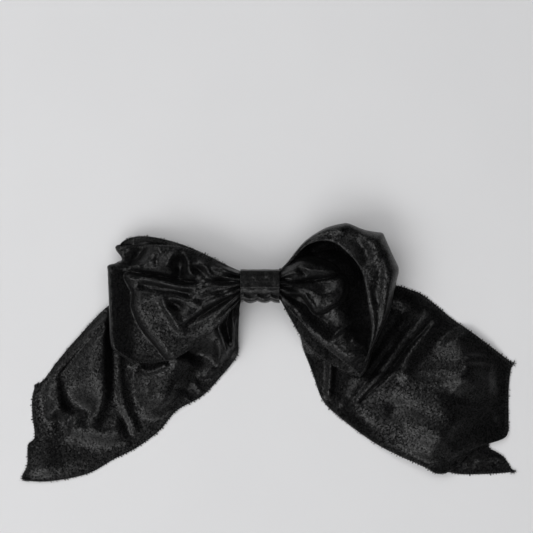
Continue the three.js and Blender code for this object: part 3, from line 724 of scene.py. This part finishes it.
def right_cup():
    """The right loop's back layer: out from the knot, round the far side, and over to its hem."""
    stations, along, across = 60, 150, 120
    mouth = smooth_line(mm((11.5, -8, 18.5), (11.5, 0, 19.5), (11.5, 9, 18.5)), stations)
    outline = smooth_line(
        mm((63.2, -58.6, 8), (67.6, -53, 9), (71, -39.6, 11), (76.6, -27.3, 13), (81.1, -17.2, 14),
           (84.2, -4, 15), (87, 7.6, 15.5), (87.4, 10.6, 15.5), (82.4, 21.8, 16),
           (77.8, 31.8, 16), (76, 33.2, 16), (66, 35, 16.5), (56.6, 38.8, 17), (53.6, 39.2, 17),
           (46, 37.8, 17), (38.5, 34.9, 17),
           (27.3, 27, 17), (17.3, 14.7, 18), (11.5, 9, 18.5)), stations)
    hem = smooth_line(
        mm((63, -57.6, 11), (65.6, -50.8, 15), (68.4, -44, 19), (70, -35.1, 23), (70, -23.9, 26),
           (68.2, -13.8, 28), (66.5, -2.6, 29.5), (64.3, 7.4, 30), (59.8, 15.3, 30),
           (53.1, 22, 29.5), (47.5, 26.5, 28.5), (39.6, 28.4, 27), (30, 26, 24.5), (24, 20.6, 23),
           (18.5, 14.6, 22), (11.5, 8.8, 21)), stations)
    rows = []
    for k in range(stations):
        m, o, h = mouth[k], outline[k], hem[k]
        peek = (1 - k / (stations - 1)) ** 5  # the lowest corner shows beyond the front layer
        low = (m + o) / 2 + mm((-7, -6, -3.5))[0] * (peek, peek, 1)
        foot = m * 0.12 + o * 0.88 + mm((-5, -2.6, 0))[0] * (peek, peek, 1)
        foot[2] = o[2] - 5 * MM
        side = np.array([o[0], o[1], 0.45 * o[2] + 0.55 * h[2]])
        width = np.linalg.norm((o - h)[:2])
        crest = h * 0.25 + o * 0.75
        crest[2] = h[2] + 0.17 * width
        middle = h * 0.6 + o * 0.4
        middle[2] = h[2] + 0.09 * width
        lip = h * 0.9 + o * 0.1
        lip[2] = h[2] + 0.6 * MM
        rows.append([m, low, foot, side, crest, middle, lip, h])
    net = np.array(rows).transpose(1, 0, 2)
    surface = np.stack([smooth_line(net[:, k], across + 1) for k in range(stations)])
    surface = np.stack([smooth_line(surface[:, j], along) for j in range(across + 1)])
    # the creases in the part that shows above, which starts past the turn at the outline
    above = surface[int(0.55 * along):].transpose(1, 0, 2)
    plan = above[..., :2]
    above[..., 2] += ridge(plan, -1.8, 3, 4, (50, 36), (58.9, 32.2), (65, 24), (69, 12), power=2)
    above[..., 2] += ridge(plan, -1.2, 2.5, 3, (78, 26), (76, 12), (73, -4), (74, -16), power=2)
    above[..., 2] += ridge(plan, 1.0, 1.5, 1.5, (68, 2), (70.5, -12), (72, -26), (70.5, -40))
    above[..., 2] += crumple(plan, 9, 0.26, 31)
    return surface


def right_floor():
    """The right loop's front layer: a gathered pouch at the knot, and the smooth floor beyond."""
    along, across = 110, 110
    mouth_x = 11.5 * MM
    plan = plan_patch(
        mm((11.5, -8), (25.1, -22.6), (32.9, -31.5), (44.1, -41.6), (55.3, -50.8), (63, -57.8)),
        mm((11.5, 8.4), (19.5, 15.5), (26.5, 22.4), (33, 26.2), (40, 28.4), (48, 28)),
        mm((63, -57.8), (67.6, -50), (71, -35), (71.5, -20), (69.5, -6), (66, 8), (60, 18),
           (48, 28)),
        across, along,
    )
    from_mouth = plan[..., 0] - mouth_x
    z = 16.5 * MM + 4.5 * MM * (1 - ease(0, 30 * MM, from_mouth))
    z += lobe(plan, 6, 3, 5, 8, (14, 3), (27, 3.4), (41.9, 5.6), (48.5, 8.6), (44.5, 12.4),
              (35.4, 16.2), (26.2, 16.6), (20, 13), (14, 8))
    z += lobe(plan, 5, 2.2, 5, 11, (13, 1.6), (25, 1.6), (40, 3.4), (52, 5.2), (54.4, -1.5),
              (52.2, -8.6), (45, -13.4), (38, -17.4), (33.6, -16), (27.6, -7), (20, -5),
              (13, -6))
    z += mound(plan, 4.5, (45, 14), (17, 9)) + mound(plan, 4, (53, 1), (17, 10))
    z += mound(plan, -2.4, (41, -2.5), (7, 4), 10)
    z += ridge(plan, 1.6, 1.5, 1.5, (27.5, -5), (31.5, -10.5), (35, -15))
    z += ridge(plan, 1.8, 1.6, 1.8, (52.5, 3), (51.5, -6), (45, -11.5), (38, -15.5))
    z += mound(plan, -3, (26.5, 9), (3, 2), -30)
    z += mound(plan, 3.6, (50, -16.5), (8, 7), -40)
    # the floor sinks toward the overhanging rim
    z += ridge(plan, -6.5, 8, 15, (20, 20), (34.6, 30), (43.4, 30.5), (52, 28), (58.6, 23),
               (64.5, 16.5), (68.4, 8), (70, -2), (71, -12), (72.5, -21), (73, -30), (71, -38),
               power=2)
    z += ridge(plan, 4.5, 7, 6, (49, -30), (56, -38), (62, -48), power=2)
    z += ridge(plan, 2, 2, 2, (58, -34), (63, -38), (68, -38))
    z += ridge(plan, 2.5, 4, 4, (20, -14), (32, -26), (46, -38), (58, -49), power=2)
    return np.dstack([plan, gather(plan, z, from_mouth, 4.5, 2, 24 * MM, 21)])


# ---------------------------------------------------------------- knot
def knot_section():
    """The knot band's section, as (y, z): up the front, over the top, down the back and under."""
    low, high = KNOT_LOW.z, KNOT_HIGH.z
    top = high + 1.8 * MM
    under = low + 0.6 * MM
    side = low + 4 * MM
    # the front, up to the fold in the top, as (y, depth below the top)
    front = mm((-10.4, 10), (-10.2, 6.5), (-9.3, 3.8), (-8.1, 3.1), (-7.5, 2.9), (-5.5, 3.2),
               (-4.7, 2.1), (-2.6, 1.1), (-1.6, 0.9), (-1.2, 0.1), (0, 0))
    back = [(4 * MM, top + 0.4 * MM), (7.8 * MM, top + 0.6 * MM), (9.2 * MM, top - 0.8 * MM),
            (9.5 * MM, top - 6 * MM), (9.5 * MM, side)]
    bottom = [(7 * MM, under), (0, under), (-7 * MM, under), (-9.6 * MM, side)]
    return [*[(y, top - depth) for y, depth in front], *back, *bottom]


def knot():
    """The knot band: velvet folded lengthwise and wrapped round everything under it."""
    around, along = 170, 80
    left, right = KNOT_LOW.x + KNOT_INSET, KNOT_HIGH.x - KNOT_INSET
    middle = (KNOT_LOW.z + KNOT_HIGH.z) / 2
    section = knot_section()
    rows = []
    for y, z in smooth_line([*section, section[0]], around + 1)[:-1]:
        # the slope in front of the fold hangs in scallops
        scallop = float(ease(-3.6 * MM, -5.6 * MM, y) * ease(14 * MM, 18 * MM, z))
        line = []
        for j in range(along + 1):
            x = left + (right - left) * j / along
            hang = (abs(math.sin(math.pi * (x + 2.2 * MM) / SCALLOP)) - 0.6) * scallop
            grow = 1 + 0.3 * MM * noise.noise(Vector((x, y, z)) / (4 * MM)) / math.hypot(y, z - middle)
            line.append((x, y * grow - 1.3 * MM * hang, middle + (z - middle) * grow - 0.5 * MM * hang))
        rows.append(line)
    return np.array(rows)


# ---------------------------------------------------------------- build
def border(surface, side):
    """The points on one border of a surface, and the points just inside it."""
    if side == "low":
        return surface[:, 0], surface[:, 3]
    if side == "high":
        return surface[:, -1], surface[:, -4]
    return surface[-1], surface[-4]


def trimmed(edge, start, stop):
    """The part of a border between two shares of its length."""
    points, inner = edge
    n = len(points)
    cut = slice(int(start * n), int(stop * n))
    return points[cut], inner[cut]


left_tail_surface = left_tail()
right_tail_surface = right_tail()
corner_surface = right_tail_corner()
left_loop_surface = left_loop()
cup_surface = right_cup()
floor_surface = right_floor()

left_tail_piece = cloth_piece("left_tail_velvet", [left_tail_surface], VELVET)
right_tail_piece = cloth_piece(
    "right_tail_velvet",
    [right_tail_surface, right_tail_turn(right_tail_surface), corner_surface], VELVET)
left_loop_piece = cloth_piece("left_loop_velvet", [left_loop_surface], VELVET)
right_loop_piece = cloth_piece("right_loop_velvet", [cup_surface, floor_surface], VELVET)
knot_velvet = cloth_piece("knot_velvet_band", [knot()], KNOT_VELVET, KNOT_CLOTH, closed=True)

left_tail_thread = overlock(
    "left_tail_overlock",
    [trimmed(border(left_tail_surface, "low"), 0.05, 1),
     trimmed(border(left_tail_surface, "high"), 0.4, 1),
     border(left_tail_surface, "end")], THREAD_BLACK, 1, [((-154, -125.5), (-1, -0.4))])
right_tail_thread = overlock(
    "right_tail_overlock",
    [trimmed(border(right_tail_surface, "low"), 0.05, 0.98),
     trimmed(border(right_tail_surface, "high"), 0.3, 1),
     trimmed(border(right_tail_surface, "end"), 0.45, 1),
     trimmed(border(corner_surface, "low"), 0.1, 1),
     border(corner_surface, "end")], THREAD_BLACK, 2,
    [((163.4, -51.2), (1, 0.1)), ((163.2, -120.6), (1, 0.1))])
left_loop_thread = overlock(
    "left_loop_overlock",
    [trimmed(border(left_loop_surface, "low"), 0.06, 0.94),
     trimmed(border(left_loop_surface, "high"), 0.06, 0.94)], THREAD_BLACK, 3)
right_loop_thread = overlock(
    "right_loop_overlock",
    [trimmed(border(floor_surface, "low"), 0.08, 0.97),
     border(cup_surface, "high"),
     trimmed(border(cup_surface, "low"), 0.1, 1)], THREAD_BLACK, 4)

PIECES = [
    (left_tail_piece, "velvet", ["left_tail"]),
    (right_tail_piece, "velvet", ["right_tail"]),
    (left_loop_piece, "velvet", ["left_loop"]),
    (right_loop_piece, "velvet", ["right_loop"]),
    (knot_velvet, "velvet", ["knot_band"]),
    (left_tail_thread, "thread", ["left_tail_hem"]),
    (right_tail_thread, "thread", ["right_tail_hem"]),
    (left_loop_thread, "thread", ["left_loop_low_hem", "left_loop_high_hem"]),
    (right_loop_thread, "thread", ["right_loop_low_hem", "right_loop_high_hem"]),
]
for piece, slot, stands_for in PIECES:
    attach(piece, "bow")
    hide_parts(*stands_for)

for node in ("cinch_thread", "plate_stitch_left", "plate_stitch_right"):
    paint(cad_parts[node].data, THREAD_BLACK)
for node in ("clip_plate", "clip_arm", "hinge_pin", "tension_leaf", "catch_base", "catch_rivet",
             "catch_tab_front", "catch_tab_back"):
    paint(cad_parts[node].data, STEEL)


# ---------------------------------------------------------------- floor, light and camera
def floor():
    """A wide sheet of pale paper."""
    size = FLOOR_HALF
    mesh = bpy.data.meshes.new("floor")
    mesh.from_pydata([(-size, -size, 0), (size, -size, 0), (size, size, 0), (-size, size, 0)], [],
                     [(0, 1, 2, 3)])
    material, tree, shader = nodes_of("pale_paper")
    shader.inputs["Roughness"].default_value = 0.7
    shader.inputs["Specular IOR Level"].default_value = 0.2
    mottle = noise_node(tree, MOTTLE, 2).outputs["Fac"]
    colour = mixed_colour(tree, mottle, (0.70, 0.70, 0.71), (0.74, 0.74, 0.75))
    link(tree, colour, shader.inputs["Base Color"])
    add_object("floor", mesh, material)


def softbox(name, place, size, power):
    """A rectangular lamp that points at the bow."""
    data = bpy.data.lights.new(name, "AREA")
    data.shape = "RECTANGLE"
    data.size, data.size_y = size
    data.energy = power
    lamp = bpy.data.objects.new(name, data)
    lamp.location = place
    lamp.rotation_euler = (Vector(AIM) - Vector(place)).to_track_quat("-Z", "Y").to_euler()
    bpy.context.scene.collection.objects.link(lamp)
    return lamp


def camera():
    """Straight above the bow, looking down, and as far zoomed in as VIEW_WIDTH says."""
    data = bpy.data.cameras.new("camera")
    data.sensor_width = SENSOR
    data.lens = SENSOR * CAMERA_PLACE[2] / VIEW_WIDTH
    view = bpy.data.objects.new("camera", data)
    view.location = CAMERA_PLACE
    bpy.context.scene.collection.objects.link(view)
    bpy.context.scene.camera = view


def maths(tree, operation, first, second):
    """A sum or product of a socket and a socket or a constant."""
    node = tree.nodes.new("ShaderNodeMath")
    node.operation = operation
    link(tree, first, node.inputs[0])
    if isinstance(second, (int, float)):
        node.inputs[1].default_value = second
    else:
        link(tree, second, node.inputs[1])
    return node.outputs["Value"]


def sky():
    """A light tent: bright all round, brighter on one side, with a dark opening above."""
    world = bpy.data.worlds.new("light_tent")
    world.use_nodes = True
    tree = world.node_tree
    way = tree.nodes.new("ShaderNodeTexCoord").outputs["Generated"]
    split = tree.nodes.new("ShaderNodeSeparateXYZ")
    link(tree, way, split.inputs["Vector"])
    opening = tree.nodes.new("ShaderNodeMapRange")
    opening.interpolation_type = "SMOOTHSTEP"
    opening.inputs["From Min"].default_value = math.cos(math.radians(SKY_OPENING[0]))
    opening.inputs["From Max"].default_value = math.cos(math.radians(SKY_OPENING[1]))
    link(tree, split.outputs["Z"], opening.inputs["Value"])
    bright_side = (SKY_BRIGHT_SIDE[0] * SKY_LEAN, SKY_BRIGHT_SIDE[1] * SKY_LEAN, 0)
    lean = maths(tree, "ADD", vector_math(tree, "DOT_PRODUCT", way, bright_side), 1)
    strength = maths(tree, "MULTIPLY", maths(tree, "MULTIPLY", opening.outputs["Result"], lean),
                     SKY_STRENGTH)
    tent = tree.nodes["Background"]
    tent.inputs["Color"].default_value = (1, 1, 1, 1)
    link(tree, strength, tent.inputs["Strength"])
    bpy.context.scene.world = world


floor()
sky()
softbox("key", place=(-0.66, -0.96, 1.45), size=(2.0, 0.7), power=15)
softbox("key_back", place=(-1.05, 0.85, 1.4), size=(1.5, 0.7), power=9.5)
overhead = softbox("overhead", place=(0, 0.1, 1.9), size=(2.2, 2.2), power=20)
overhead.visible_glossy = False  # it lights the paper, and the opening above still reflects dark
bpy.context.scene.view_settings.view_transform = "Standard"
camera()
